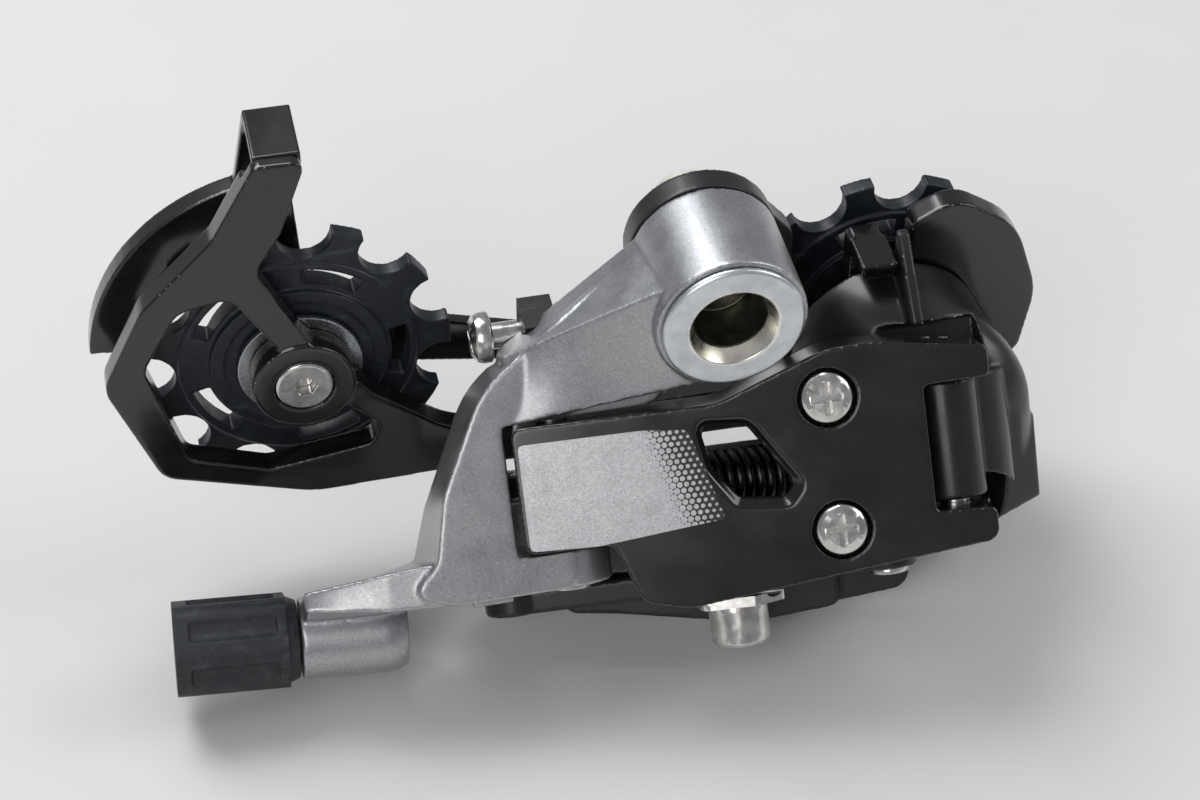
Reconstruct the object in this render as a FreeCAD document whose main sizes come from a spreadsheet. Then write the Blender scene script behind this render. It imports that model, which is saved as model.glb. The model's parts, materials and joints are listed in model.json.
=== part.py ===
"""Rear derailleur of a bicycle: slant parallelogram, sprung two-pulley cage and barrel adjuster.

The origin is on the hanger bolt's axis, in the plane where the mounting washer meets the hanger.
+Y points inboard, towards the wheel, +X towards the guide pulley and +Z up. Millimetres.
Round pieces of the wheel plane are drawn in the side frame (x, z, outboard), and the pieces of
the slanted parallelogram in the link frame (x, along the pins, out of the outer link's face).
"""
import FreeCAD, Part
import math
import os
import re
import Sketcher

V = FreeCAD.Vector
Rotation = FreeCAD.Rotation
Placement = FreeCAD.Placement

SIZES = [
    # alias, value, meaning
    ("slant", 36.0, "lean of the parallelogram's pins from vertical, degrees"),
    ("run_gap", 0.05, "radial clearance of a turning fit"),
    ("seat_gap", 0.02, "clearance of a piece that is pressed or screwed in place"),
    ("side_gap", 0.4, "clearance between faces that pass each other"),
    # hanger bolt and knuckle barrel
    ("bolt_thread_radius", 5.0, "M10 end that screws into the frame's hanger"),
    ("bolt_shoulder_radius", 5.4, "bolt where the washer sits on it"),
    ("bolt_reach", 9.0, "length of the M10 end"),
    ("bolt_journal_radius", 7.2, "plain journal that the knuckle turns on"),
    ("bolt_neck_radius", 6.3, "groove for the retaining ring"),
    ("bolt_head_radius", 10.5, "visible ring of the bolt's head"),
    ("bolt_head_height", 1.0, "height of the visible ring"),
    ("bolt_boss_radius", 9.0, "part of the head that is sunk into the barrel"),
    ("bolt_boss_height", 3.6, "height of the sunk part"),
    ("bolt_bore_radius", 5.3, "round bore of the head"),
    ("bolt_bore_depth", 10.5, "depth of the round bore"),
    ("bolt_bore_chamfer", 1.3, "wide chamfer at the mouth of the bore"),
    ("hex_socket", 5.0, "hex key across flats in the hanger bolt"),
    ("hex_depth", 5.0, "depth of the hex socket"),
    ("washer_thickness", 4.0, "mounting washer"),
    ("washer_radius", 11.3, "mounting washer"),
    ("washer_lug_reach", 4.2, "width of the washer's stop arm beyond its ring"),
    ("washer_heel_x", -13.5, "heel that the tension screw bears on"),
    ("barrel_radius", 11.2, "knuckle barrel around the hanger bolt"),
    ("barrel_length", 17.4, "knuckle barrel"),
    ("bush_wall", 1.2, "wall of the knuckle's bushes"),
    ("bush_length", 5.0, "length of each bush"),
    ("ring_thickness", 0.9, "retaining ring"),
    ("ring_width", 2.1, "retaining ring"),
    ("seal_wire", 0.6, "radius of a seal's section"),
    # parallelogram
    ("link_span", 58.0, "pin to pin along each link"),
    ("link_rise", 8.93, "angle of the links to the x axis at rest, degrees"),
    ("outer_pin_x", -25.3, "pin of the outer link in the upper knuckle"),
    ("inner_pin_x", -32.6, "pin of the inner link in the upper knuckle"),
    ("inner_pin_n", -15.0, "the same pin, towards the wheel"),
    ("pin_radius", 2.4, "pins of the outer link"),
    ("inner_pin_radius", 2.2, "pins of the inner link"),
    ("pin_head_radius", 3.1, "flat heads at the lower ends of two pins"),
    ("pin_head_height", 0.9, "flat heads"),
    ("open_pin_gap", 0.15, "clearance of the inner link on its lower pin"),
    ("fork_top", -24.0, "top of the fork that holds the outer link"),
    ("fork_bottom", -43.5, "bottom of the fork"),
    ("fork_floor_x", -33.4, "closed end of the fork"),
    ("ear_radius", 6.2, "round end of the fork's ears"),
    ("plate_front", 6.5, "front face of the upper knuckle"),
    ("plate_back", -5.0, "back face of the upper knuckle"),
    ("boss_radius", 4.6, "bosses that carry the inner pins"),
    ("ear_top", -34.0, "outer face of the inner link's upper ear"),
    ("ear_bottom", -55.5, "outer face of the inner link's lower ear"),
    ("ear_thickness", 3.5, "inner link's ears"),
    ("link_face", 8.7, "front face of the outer link above its pin line"),
    ("link_wall", 2.6, "walls of the outer link"),
    ("link_depth", 11.2, "depth of the outer link's channel"),
    ("web_thickness", 2.5, "web of the inner link"),
    ("web_back", -3.5, "back of the inner link below its pin line"),
    # limit screws and cable anchor
    ("limit_x", 40.2, "limit screws along the outer link"),
    ("limit_high_p", -25.6, "upper limit screw"),
    ("limit_low_p", -45.1, "lower limit screw"),
    ("limit_head_radius", 4.0, "limit screw heads"),
    ("limit_head_height", 2.2, "limit screw heads"),
    ("limit_well_radius", 4.9, "wells around the limit screws"),
    ("limit_well_depth", 1.6, "wells around the limit screws"),
    ("limit_length", 13.0, "limit screw shanks"),
    ("small_thread_radius", 2.0, "M4 screws"),
    ("anchor_x", 24.1, "cable anchor along the outer link"),
    ("anchor_seat", -53.9, "seat of the clamp washer"),
    ("anchor_head_radius", 4.5, "anchor bolt head"),
    ("anchor_head_height", 6.2, "anchor bolt head"),
    ("anchor_thread_radius", 2.5, "M5 anchor bolt"),
    ("clamp_thickness", 1.5, "clamp washer"),
    # cable stop
    ("cable_n", -8.0, "cable axis towards the wheel"),
    ("cable_x", -50.0, "right end of the cable boss"),
    ("cable_p", -54.0, "cable axis at the right end of its boss"),
    ("cable_tilt", 4.0, "tilt of the cable axis, degrees"),
    ("cable_boss_radius", 6.2, "boss for the barrel adjuster"),
    ("cable_boss_length", 16.0, "boss for the barrel adjuster"),
    ("stud_radius", 3.0, "threaded stud of the adjuster"),
    ("stud_length", 10.0, "stud inside the boss"),
    ("grip_radius", 6.9, "adjuster's grip"),
    ("grip_length", 18.3, "adjuster's grip"),
    ("housing_radius", 2.55, "socket for the cable housing"),
    ("housing_depth", 12.0, "depth of that socket"),
    ("wire_radius", 1.1, "hole for the inner cable"),
    # tension screw
    ("b_screw_y", -2.4, "tension screw's axis"),
    ("b_screw_z", -12.9, "tension screw's axis"),
    ("b_screw_head_x", -35.0, "outer face of the tension screw's head"),
    ("b_screw_head_radius", 3.9, "tension screw's head"),
    ("b_screw_head_height", 3.1, "tension screw's head"),
    ("b_nut_x", -27.5, "left face of the nut block"),
    ("b_nut_length", 5.0, "nut block"),
    ("b_nut_width", 7.0, "nut block"),
    # cage
    ("cage_pivot_x", 35.6, "cage pivot"),
    ("cage_pivot_z", -35.0, "cage pivot"),
    ("guide_x", 30.6, "guide pulley"),
    ("guide_z", -23.1, "guide pulley"),
    ("tension_x", -60.0, "tension pulley"),
    ("tension_z", -17.1, "tension pulley"),
    ("plate_y", 1.5, "inboard face of the outer cage plate"),
    ("plate_thickness", 4.0, "outer cage plate"),
    ("inner_plate_thickness", 2.0, "inner cage plate"),
    ("pulley_room", 8.0, "width between the cage plates"),
    ("plate_boss_radius", 7.7, "boss of the outer plate around the tension pulley's bolt"),
    ("plate_boss_height", 0.5, "the same boss above the plate"),
    ("pulley_bolt_radius", 2.45, "pulley bolts"),
    ("pulley_bolt_head", 4.4, "radius of the pulley bolts' heads"),
    ("pulley_bolt_key", 3.0, "hex key of the pulley bolts"),
    ("axle_radius", 5.0, "cage axle"),
    ("axle_flange_radius", 7.4, "cage axle's flange, sunk in the plate"),
    ("axle_flange", 1.5, "cage axle's flange"),
    ("axle_length", 16.8, "cage axle outboard of its flange"),
    ("housing_back", 3.1, "back face of the lower knuckle, outboard of the origin"),
    ("spring_room", 8.0, "depth of the cage spring's chamber"),
    ("spring_chamber_radius", 10.4, "cage spring's chamber"),
    ("cage_spring_radius", 7.9, "mean radius of the cage spring"),
    ("cage_spring_wire", 0.95, "wire radius of the cage spring"),
    # pulleys
    ("chain_pitch", 12.7, "half-inch chain"),
    ("roller_seat", 4.08, "radius of the seat between two teeth"),
    ("tooth_count", 11, "teeth of each pulley"),
    ("tooth_tip", 0.65, "tooth height beyond the pitch circle"),
    ("tooth_width", 2.6, "axial width of the teeth"),
    ("web_width", 3.6, "axial width of the pulley's web"),
    ("hub_width", 5.4, "axial width of the hub ring"),
    ("hub_radius", 13.4, "outside of the hub ring"),
    ("hub_wall", 2.0, "wall of the hub ring"),
    ("hub_pan_width", 5.0, "axial width of the wheel inside the hub ring"),
    ("guide_phase", 100.8, "turn of the guide pulley, degrees"),
    ("tension_phase", 67.4, "turn of the tension pulley, degrees"),
    ("bearing_outer_radius", 8.2, "tension pulley bearing"),
    ("bearing_inner_radius", 3.45, "tension pulley bearing"),
    ("bearing_ring_wall", 1.25, "tension pulley bearing"),
    ("bearing_width", 5.0, "tension pulley bearing"),
    ("ball_radius", 1.05, "bearing balls"),
    ("ball_count", 9, "bearing balls"),
    ("cap_radius", 9.4, "dust caps"),
    ("cap_thickness", 0.9, "dust caps"),
    ("guide_bush_radius", 4.6, "guide pulley's bush"),
]

doc = FreeCAD.newDocument("rear_derailleur")
sheet = doc.addObject("Spreadsheet::Sheet", "Sizes")
for row, (alias, value, meaning) in enumerate(SIZES, start=1):
    sheet.set(f"A{row}", alias)
    sheet.set(f"B{row}", str(value))
    sheet.setAlias(f"B{row}", alias)
    sheet.set(f"C{row}", meaning)
doc.recompute()

nodes = []


def size(alias):
    """One number of the sheet."""
    return float(sheet.get(alias))


def bound(text):
    """An expression in which each plain word is an alias of the sheet."""
    return re.sub(r"\b[a-z]\w*\b(?!\()", lambda word: "Sizes." + word.group(0), text)


def worth(text):
    """The number that such an expression has now."""
    return float(sheet.evalExpression(bound(text)))


# ---------------------------------------------------------------- frames
def side_frame(x=0.0, z=0.0, outboard=0.0):
    """Local x to the right, local y up, local z outboard."""
    return Placement(V(x, -outboard, z), Rotation(V(1, 0, 0), 90))


def link_frame(x=0.0, p=0.0, n=0.0, rise=0.0):
    """Local x along the links, local y up the pins, local z out of the outer link's face."""
    lean = Placement(V(), Rotation(V(1, 0, 0), 90 - size("slant")))
    return lean * Placement(V(x, p, n), Rotation(V(0, 1, 0), -rise))


def pin_frame(base, x=0.0, p=0.0, n=0.0):
    """Local z up the pins, at a point of a link frame."""
    return base * Placement(V(x, p, n), Rotation(V(1, 0, 0), -90))


def x_frame(x, y, z):
    """Local z along +X."""
    return Placement(V(x, y, z), Rotation(V(0, 1, 0), 90))


LINK = link_frame()
OUTER_LINK = link_frame(size("outer_pin_x"), 0, 0, size("link_rise"))
INNER_LINK = link_frame(size("inner_pin_x"), 0, size("inner_pin_n"), size("link_rise"))
rise = math.radians(size("link_rise"))
LINK_STEP = V(size("link_span") * math.cos(rise), 0, size("link_span") * math.sin(rise))
LOWER_OUTER = V(size("outer_pin_x"), 0, 0) + LINK_STEP
LOWER_INNER = V(size("inner_pin_x"), 0, size("inner_pin_n")) + LINK_STEP


# ---------------------------------------------------------------- construction helpers
def node(thing, label):
    """Name a finished sub-part."""
    thing.Label = label
    nodes.append(thing)
    return thing


def feature(label, shape, frame=None):
    """A forged or cast sub-part whose shape is built below from the sheet."""
    thing = doc.addObject("Part::Feature", label + "_shape")
    thing.Shape = shape.removeSplitter()
    if frame is not None:
        thing.Placement = frame
    return node(thing, label)


def turned(name, profile, frame):
    """A turned piece: (radius, height) expressions, revolved about the frame's z axis."""
    body = doc.addObject("PartDesign::Body", name + "_body")
    sketch = body.newObject("Sketcher::SketchObject", name + "_profile")
    plane = [face for face in body.Origin.OriginFeatures if face.Role == "XZ_Plane"][0]
    sketch.AttachmentSupport = [(plane, "")]
    sketch.MapMode = "FlatFace"
    corners = [V(worth(radius), worth(height), 0) for radius, height in profile]
    count = len(corners)
    for i in range(count):
        sketch.addGeometry(Part.LineSegment(corners[i], corners[(i + 1) % count]))
    for i in range(count):
        sketch.addConstraint(Sketcher.Constraint("Coincident", i, 2, (i + 1) % count, 1))
    for i, (radius, height) in enumerate(profile):
        across = Sketcher.Constraint("DistanceX", -1, 1, i, 1, corners[i].x)
        sketch.setExpression(f"Constraints[{sketch.addConstraint(across)}]", bound(radius))
        up = Sketcher.Constraint("DistanceY", -1, 1, i, 1, corners[i].y)
        sketch.setExpression(f"Constraints[{sketch.addConstraint(up)}]", bound(height))
    spin = body.newObject("PartDesign::Revolution", name + "_turn")
    spin.Profile = sketch
    spin.ReferenceAxis = (sketch, ["V_Axis"])
    spin.Angle = 360
    body.Placement = frame
    doc.recompute()
    return body


def rod(name, radius, length, frame):
    """A plain cylinder with its radius and length bound to the sheet."""
    thing = doc.addObject("Part::Cylinder", name)
    thing.setExpression("Radius", bound(radius))
    thing.setExpression("Height", bound(length))
    thing.Placement = frame
    return thing


def hexagon(name, across_flats, length, frame):
    """A hexagonal prism for a key socket."""
    thing = doc.addObject("Part::Prism", name)
    thing.Polygon = 6
    thing.setExpression("Circumradius", f"({bound(across_flats)}) / 2 / cos(30)")
    thing.setExpression("Height", bound(length))
    thing.Placement = frame
    return thing


def less(name, base, *tools):
    """A base with tools cut from it, one after another."""
    for i, tool in enumerate(tools):
        cut = doc.addObject("Part::Cut", f"{name}_cut_{i}")
        cut.Base = base
        cut.Tool = tool
        base = cut
    return base


def tube(name, outer, inner, length, frame):
    """A plain ring or bush."""
    wall = rod(name + "_outside", outer, length, frame)
    bore = rod(name + "_bore", inner, length, frame)
    return less(name, wall, bore)


def shifted(frame, up):
    """The same frame moved along its own z axis."""
    return frame * Placement(V(0, 0, up), Rotation())


def outline(corners):
    """A closed flat wire through (x, y, radius) corners, each rounded as far as its sides allow."""
    count = len(corners)
    points = [V(x, y, 0) for x, y, _ in corners]
    bends = []
    for i, (_, _, radius) in enumerate(corners):
        back = points[i - 1] - points[i]
        ahead = points[(i + 1) % count] - points[i]
        half = back.getAngle(ahead) / 2
        reach = min(radius / math.tan(half), 0.48 * back.Length, 0.48 * ahead.Length)
        radius = reach * math.tan(half)
        back.normalize()
        ahead.normalize()
        middle = (back + ahead).normalize()
        crown = points[i] + middle * (radius / math.sin(half) - radius)
        bends.append((points[i] + back * reach, crown, points[i] + ahead * reach))
    edges = []
    for i, (start, crown, end) in enumerate(bends):
        edges.append(Part.Arc(start, crown, end).toShape())
        edges.append(Part.makeLine(end, bends[(i + 1) % count][0]))
    return Part.Wire(edges)


def slab(corners, low, high):
    """A flat plate with rounded corners, from one height to another."""
    face = Part.Face(outline(corners))
    face.translate(V(0, 0, low))
    return face.extrude(V(0, 0, high - low))


def tapered(low_corners, low, high_corners, high):
    """A solid between two outlines of as many corners."""
    first = outline(low_corners)
    first.translate(V(0, 0, low))
    second = outline(high_corners)
    second.translate(V(0, 0, high))
    return Part.makeLoft([first, second], True, True)


def drum(radius, low, high, x=0.0, y=0.0):
    """A cylinder along z."""
    return Part.makeCylinder(radius, high - low, V(x, y, low))


def post(radius, low, high, x=0.0, z=0.0):
    """A cylinder along y."""
    return Part.makeCylinder(radius, high - low, V(x, low, z), V(0, 1, 0))


def block(x_range, y_range, z_range):
    """A box between three pairs of limits."""
    sides = [high - low for low, high in (x_range, y_range, z_range)]
    return Part.makeBox(*sides, V(x_range[0], y_range[0], z_range[0]))


def laid(shape, frame):
    """A copy of a shape, placed by a frame."""
    copy = shape.copy()
    copy.Placement = frame * copy.Placement
    return copy


def joined(first, *others):
    """One solid of several that overlap."""
    return first.fuse(list(others)).removeSplitter()


def coil(radius, wire, pitch, turns, frame):
    """A closed coil of round wire, about the frame's z axis."""
    helix = Part.makeHelix(pitch, pitch * turns, radius)
    start = Part.Wire(Part.makeCircle(wire, V(radius, 0, 0), V(0, 1, 0)))
    spring = Part.Wire(helix.Edges).makePipeShell([start], True, True)
    return laid(spring, frame)


# ---------------------------------------------------------------- hanger bolt group
BARREL_BACK = "washer_thickness + 0.2"
BARREL_FRONT = "washer_thickness + 0.2 + barrel_length"


def hanger_bolt():
    """Bolt that holds the derailleur on the frame and is the pivot of its upper knuckle."""
    head_back = f"{BARREL_FRONT} + 0.15"
    boss_back = f"{head_back} - bolt_boss_height"
    top = f"{head_back} + bolt_head_height"
    bottom = f"{top} - bolt_bore_depth"
    profile = [
        ("0", "-bolt_reach"),
        ("bolt_thread_radius - 0.6", "-bolt_reach"),
        ("bolt_thread_radius", "0.6 - bolt_reach"),
        ("bolt_thread_radius", "0"),
        ("bolt_shoulder_radius", "0"),
        ("bolt_shoulder_radius", "washer_thickness"),
        ("bolt_neck_radius", "washer_thickness"),
        ("bolt_neck_radius", "washer_thickness + 0.2 + ring_thickness + 0.1"),
        ("bolt_journal_radius", "washer_thickness + 0.2 + ring_thickness + 0.1"),
        ("bolt_journal_radius", boss_back),
        ("bolt_boss_radius", boss_back),
        ("bolt_boss_radius", head_back),
        ("bolt_head_radius", head_back),
        ("bolt_head_radius", f"{top} - 0.4"),
        ("bolt_head_radius - 0.4", top),
        ("bolt_bore_radius + bolt_bore_chamfer", top),
        ("bolt_bore_radius", f"{top} - 2 * bolt_bore_chamfer"),
        ("bolt_bore_radius", bottom),
        ("0", bottom),
    ]
    shank = turned("hanger_bolt", profile, side_frame())
    socket_low = worth(bottom) - size("hex_depth")
    socket = hexagon("hanger_bolt_key", "hex_socket", "hex_depth + 1", side_frame(0, 0, socket_low))
    node(less("hanger_bolt", shank, socket), "hanger_bolt")


def mounting_washer():
    """Washer that stays with the hanger, with a stop arm and the heel of the tension screw."""
    radius = size("washer_radius")
    reach = size("washer_lug_reach")
    thick = size("washer_thickness")
    arm = slab([
        (0, 6, 2), (radius * 0.6, radius * 0.75, 4), (radius + 0.55 * reach, 0.5, 2),
        (radius + 0.6 * reach, -6.5, 1.5), (radius - 1, -8.6, 2), (0, -9, 2),
    ], 0, thick)
    heel_x = size("washer_heel_x")
    screw_z = size("b_screw_z")
    heel = slab([
        (0, 0, 1), (-radius * 0.9, -2, 2), (heel_x, screw_z + 4, 1),
        (heel_x, screw_z - 2.8, 1), (heel_x + 5, screw_z - 2.8, 2), (2, -9, 2),
    ], 0, thick)
    ring = joined(drum(radius, 0, thick), arm, heel)
    bore = drum(size("bolt_shoulder_radius") + size("run_gap"), -1, thick + 1)
    feature("b_stop_washer", ring.cut(bore), side_frame())


def knuckle_bearings():
    """Retaining ring, seal and two bushes between the bolt and the upper knuckle."""
    back = worth(BARREL_BACK)
    ring = tube("ring", "bolt_neck_radius + seat_gap + ring_width", "bolt_neck_radius + seat_gap",
                "ring_thickness", side_frame(0, 0, back))
    node(ring, "retaining_ring")
    seal = doc.addObject("Part::Torus", "knuckle_seal_ring")
    seal.setExpression("Radius1", bound("barrel_radius - 1.9"))
    seal.setExpression("Radius2", bound("seal_wire"))
    seal.Placement = side_frame(0, 0, back + size("seal_wire"))
    node(seal, "knuckle_seal")
    rear = back + size("ring_thickness") + 1.1
    front = worth(BARREL_FRONT) - size("bolt_boss_height") - size("bush_length") - 0.4
    for label, start in (("knuckle_bush_rear", rear), ("knuckle_bush_front", front)):
        bush = tube(label, "bolt_journal_radius + run_gap + bush_wall",
                    "bolt_journal_radius + run_gap", "bush_length", side_frame(0, 0, start))
        node(bush, label)


# ---------------------------------------------------------------- upper knuckle
def cable_frame():
    """Local z from the right end of the cable boss towards the housing."""
    start = Placement(V(size("cable_x"), size("cable_p"), size("cable_n")),
                      Rotation(V(0, 0, 1), -size("cable_tilt")))
    return LINK * start * Placement(V(), Rotation(V(0, 1, 0), -90))


def upper_knuckle():
    """Forged knuckle: barrel, neck, fork of the outer link, boss of the inner link, cable boss."""
    front = size("plate_front")
    back = size("plate_back")
    top = size("fork_top")
    bottom = size("fork_bottom")
    floor_x = size("fork_floor_x")
    pin_x = size("outer_pin_x")
    ear = size("ear_radius")
    barrel_back = worth(BARREL_BACK)
    barrel_front = worth(BARREL_FRONT)
    radius = size("barrel_radius")
    lower_edge = bottom - 5.6
    inner_x = size("inner_pin_x")
    inner_n = size("inner_pin_n")

    barrel = laid(drum(radius, barrel_back, barrel_front), side_frame())
    plate = tapered(
        [(-4, 4.5, 3), (-37.2, -19.2, 16), (-45.4, -36, 9), (-47.8, lower_edge + 6, 4),
         (-51, lower_edge + 1.4, 2.5), (-44, lower_edge, 4), (pin_x, lower_edge, 2),
         (pin_x, top, 1), (-4, top, 4)], back,
        [(-7, 1.5, 3), (-36, -18.5, 15), (-43.3, -33, 9), (-45.4, lower_edge + 6.4, 4),
         (-50, lower_edge + 2.4, 2.5), (-43, lower_edge, 4), (pin_x, lower_edge, 2),
         (pin_x, top, 1), (-9, top, 4)], front)
    ear_post = post(ear, lower_edge, top, pin_x)
    neck = neck_shape(barrel_back, barrel_front, radius)
    pocket = block((floor_x, 40), (bottom, top), (back - 30, front + 12))
    ear_back = post(ear, lower_edge, bottom, pin_x)

    boss_low = size("ear_bottom") + size("ear_thickness") + size("side_gap")
    boss_high = size("ear_top") - size("ear_thickness") - size("side_gap")
    boss = post(size("boss_radius"), boss_low, boss_high, inner_x, inner_n)
    web = block((inner_x - 7.4, inner_x - 1.2), (boss_low, bottom + 3), (inner_n - 1.5, back + 2))
    side = block((inner_x - 9.4, inner_x - 2.8), (boss_low + 1.5, boss_high - 1), (inner_n, back + 2))

    arm = Part.makeLoft([
        cross_section(-43.5, [(bottom + 1, 5.6), (lower_edge, 6), (lower_edge, -4.8), (bottom + 1, -4.8)]),
        cross_section(-53, [(-43, 5.0), (-48.6, 5.2), (-51.5, -9), (-44.8, -6)]),
        cross_section(-65, [(-44.6, 1.0), (-47.2, 2.4), (-53, -10), (-47.6, -9)]),
    ], True, True)
    stop = cable_frame()
    boss_length = size("cable_boss_length")
    cable_radius = size("cable_boss_radius")
    stop_boss = laid(drum(cable_radius, 3.5, boss_length), stop)
    dome = laid(Part.makeSphere(cable_radius, V(0, 0, 3.5)), stop)
    cut_end = laid(drum(cable_radius + 2, -6, 0), stop)

    def in_link(shape):
        return laid(shape, LINK)

    metal = joined(in_link(joined(plate, ear_post)), neck)
    metal = metal.cut(in_link(pocket))
    metal = joined(metal, barrel, in_link(joined(ear_back, boss, web, side, arm)), stop_boss, dome)
    metal = metal.cut(cut_end)

    # bores: hanger bolt, seal and ring recess, head recess
    bush_radius = size("bolt_journal_radius") + size("run_gap") + size("bush_wall") + size("seat_gap")
    bores = [
        laid(drum(bush_radius, barrel_back - 1, barrel_front + 1), side_frame()),
        laid(drum(radius - 1.2, barrel_back - 1, barrel_back + 2 * size("seal_wire") + 0.1), side_frame()),
        laid(drum(size("bolt_boss_radius") + 0.1, barrel_front - size("bolt_boss_height") - 0.1,
                  barrel_front + 1), side_frame()),
        in_link(post(size("pin_radius") + size("seat_gap"), lower_edge - 1, top + 5, pin_x)),
        in_link(post(size("inner_pin_radius") + size("seat_gap"), boss_low - 1, boss_high + 1,
                     inner_x, inner_n)),
        laid(drum(size("wire_radius"), -1, boss_length + 1), stop),
        laid(drum(size("stud_radius") + size("run_gap"), boss_length - size("stud_length") - 1,
                  boss_length + 1), stop),
        block((-23, 20), (-size("washer_thickness") - 0.2, 40), (-40, 40)),
        nut_block(0.05),
        laid(drum(size("small_thread_radius") + 0.3, -15, 20), b_screw_frame()),
        laid(drum(size("b_screw_head_radius") + 0.5, -8, 0.4), b_screw_frame()),
    ]
    feature("b_knuckle", metal.cut(bores))


def cross_section(x, corners):
    """A flat section of the link frame at one x, through (p, n) corners."""
    points = [V(x, p, n) for p, n in corners]
    return Part.makePolygon(points + points[:1])


def neck_shape(barrel_back, barrel_front, radius):
    """The sweep of metal from the barrel to the fork."""
    near = [V(-2.5, -back, z) for back, z in (
        (barrel_back, radius - 0.6), (barrel_front, radius - 0.6),
        (barrel_front, -radius + 0.6), (barrel_back, -radius + 0.6))]
    top = size("fork_top")
    far = [LINK.multVec(V(-32, p, n)) for p, n in (
        (-14.2, size("plate_back") + 0.3), (-14.2, size("plate_front") - 2.2),
        (top, size("plate_front")), (top, size("plate_back") + 0.3))]
    wires = [Part.makePolygon(near + near[:1]), Part.makePolygon(far + far[:1])]
    return Part.makeLoft(wires, True, True)


def knuckle_pins():
    """Pins pressed into the upper knuckle."""
    low = size("fork_bottom") - 5.6
    pin = rod("outer_pin_b_shank", "pin_radius", f"fork_top + 4.5 - ({low})",
              pin_frame(LINK, size("outer_pin_x"), low))
    head = rod("outer_pin_b_head", "pin_head_radius", "pin_head_height",
               pin_frame(LINK, size("outer_pin_x"), low - size("pin_head_height")))
    whole = doc.addObject("Part::Fuse", "outer_pin_b_whole")
    whole.Base = pin
    whole.Tool = head
    node(whole, "outer_pin_b")
    inner = rod("inner_pin_b_shank", "inner_pin_radius", "ear_top - ear_bottom + 0.8",
                pin_frame(LINK, size("inner_pin_x"), size("ear_bottom") - 0.4, size("inner_pin_n")))
    node(inner, "inner_pin_b")


def b_screw_frame():
    """Local z to the right, from the back of the tension screw's head."""
    return x_frame(size("b_screw_head_x") + size("b_screw_head_height"), size("b_screw_y"),
                   size("b_screw_z"))


def nut_block(grow):
    """Square block that the tension screw threads through, grown on all sides."""
    half = size("b_nut_width") / 2 + grow
    x = size("b_nut_x") - grow
    y = size("b_screw_y")
    z = size("b_screw_z")
    block_x = (x, x + size("b_nut_length") + 2 * grow)
    return block(block_x, (y - half - 1.5, y + half - 1.5), (z - half + 1.5, z + half + 1.5))


def tension_screw():
    """Screw that sets the angle of the derailleur, and its nut block."""
    tip = size("washer_heel_x") - size("b_screw_head_x") - size("b_screw_head_height") - 0.1
    head = size("b_screw_head_height")
    profile = [
        ("0", f"-{head}"),
        ("b_screw_head_radius - 1.4", f"-{head}"),
        ("b_screw_head_radius - 0.3", f"-{head} + 0.7"),
        ("b_screw_head_radius", f"-{head} + 1.6"),
        ("b_screw_head_radius", "-0.3"),
        ("b_screw_head_radius - 0.3", "0"),
        ("small_thread_radius - 0.05", "0"),
        ("small_thread_radius - 0.05", f"{tip} - 1"),
        ("small_thread_radius - 1", f"{tip}"),
        ("0", f"{tip}"),
    ]
    screw = turned("b_tension_screw", profile, b_screw_frame())
    slots = phillips("b_screw_slot", shifted(b_screw_frame(), -head), 1.8, 5.0)
    node(less("b_tension_screw", screw, *slots), "b_tension_screw")
    hole = laid(drum(size("small_thread_radius"), -2, 30), b_screw_frame())
    feature("b_screw_nut", nut_block(0).cut(hole))


def phillips(name, face_frame, depth, length):
    """Two crossed slots at a screw's face, cut along the frame's z axis."""
    slots = []
    for turn in (0, 90):
        slot = doc.addObject("Part::Box", f"{name}_{turn}")
        slot.Length = length
        slot.Width = 1.1
        slot.Height = depth + 1
        centre = Placement(V(), Rotation(V(0, 0, 1), turn)) * Placement(V(-length / 2, -0.55, -1), Rotation())
        slot.Placement = face_frame * centre
        slots.append(slot)
    return slots


def barrel_adjuster():
    """Turning grip with its threaded stud, for the cable housing."""
    frame = cable_frame()
    start = size("cable_boss_length")
    stud = tube("adjuster_stud", "stud_radius", "wire_radius", "stud_length + 6",
                shifted(frame, start - size("stud_length")))
    node(stud, "adjuster_stud")
    radius = size("grip_radius")
    length = size("grip_length")
    low = start + 0.3
    sides = 6
    corner = radius / math.cos(math.pi / sides) * 0.985
    ring = [(corner * math.cos(2 * math.pi * i / sides), corner * math.sin(2 * math.pi * i / sides), 3.2)
            for i in range(sides)]
    grip = slab(ring, low + 1.6, low + length)
    collar = Part.makeCone(radius - 1.1, radius - 0.4, 1.6, V(0, 0, low))
    grip = joined(grip, collar)
    for i in range(sides):
        angle = 2 * math.pi * (i + 0.5) / sides
        groove = drum(2.4, low + 3.2, low + length - 2.2, (radius + 1.55) * math.cos(angle),
                      (radius + 1.55) * math.sin(angle))
        grip = grip.cut(groove)
    stud_hole = drum(size("stud_radius") + size("seat_gap"), low - 1, start + 6.05)
    wire = drum(size("wire_radius"), low, low + length + 1)
    housing = drum(size("housing_radius"), low + length - size("housing_depth"), low + length + 1)
    feature("adjuster_grip", grip.cut([stud_hole, wire, housing]), frame)


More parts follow.
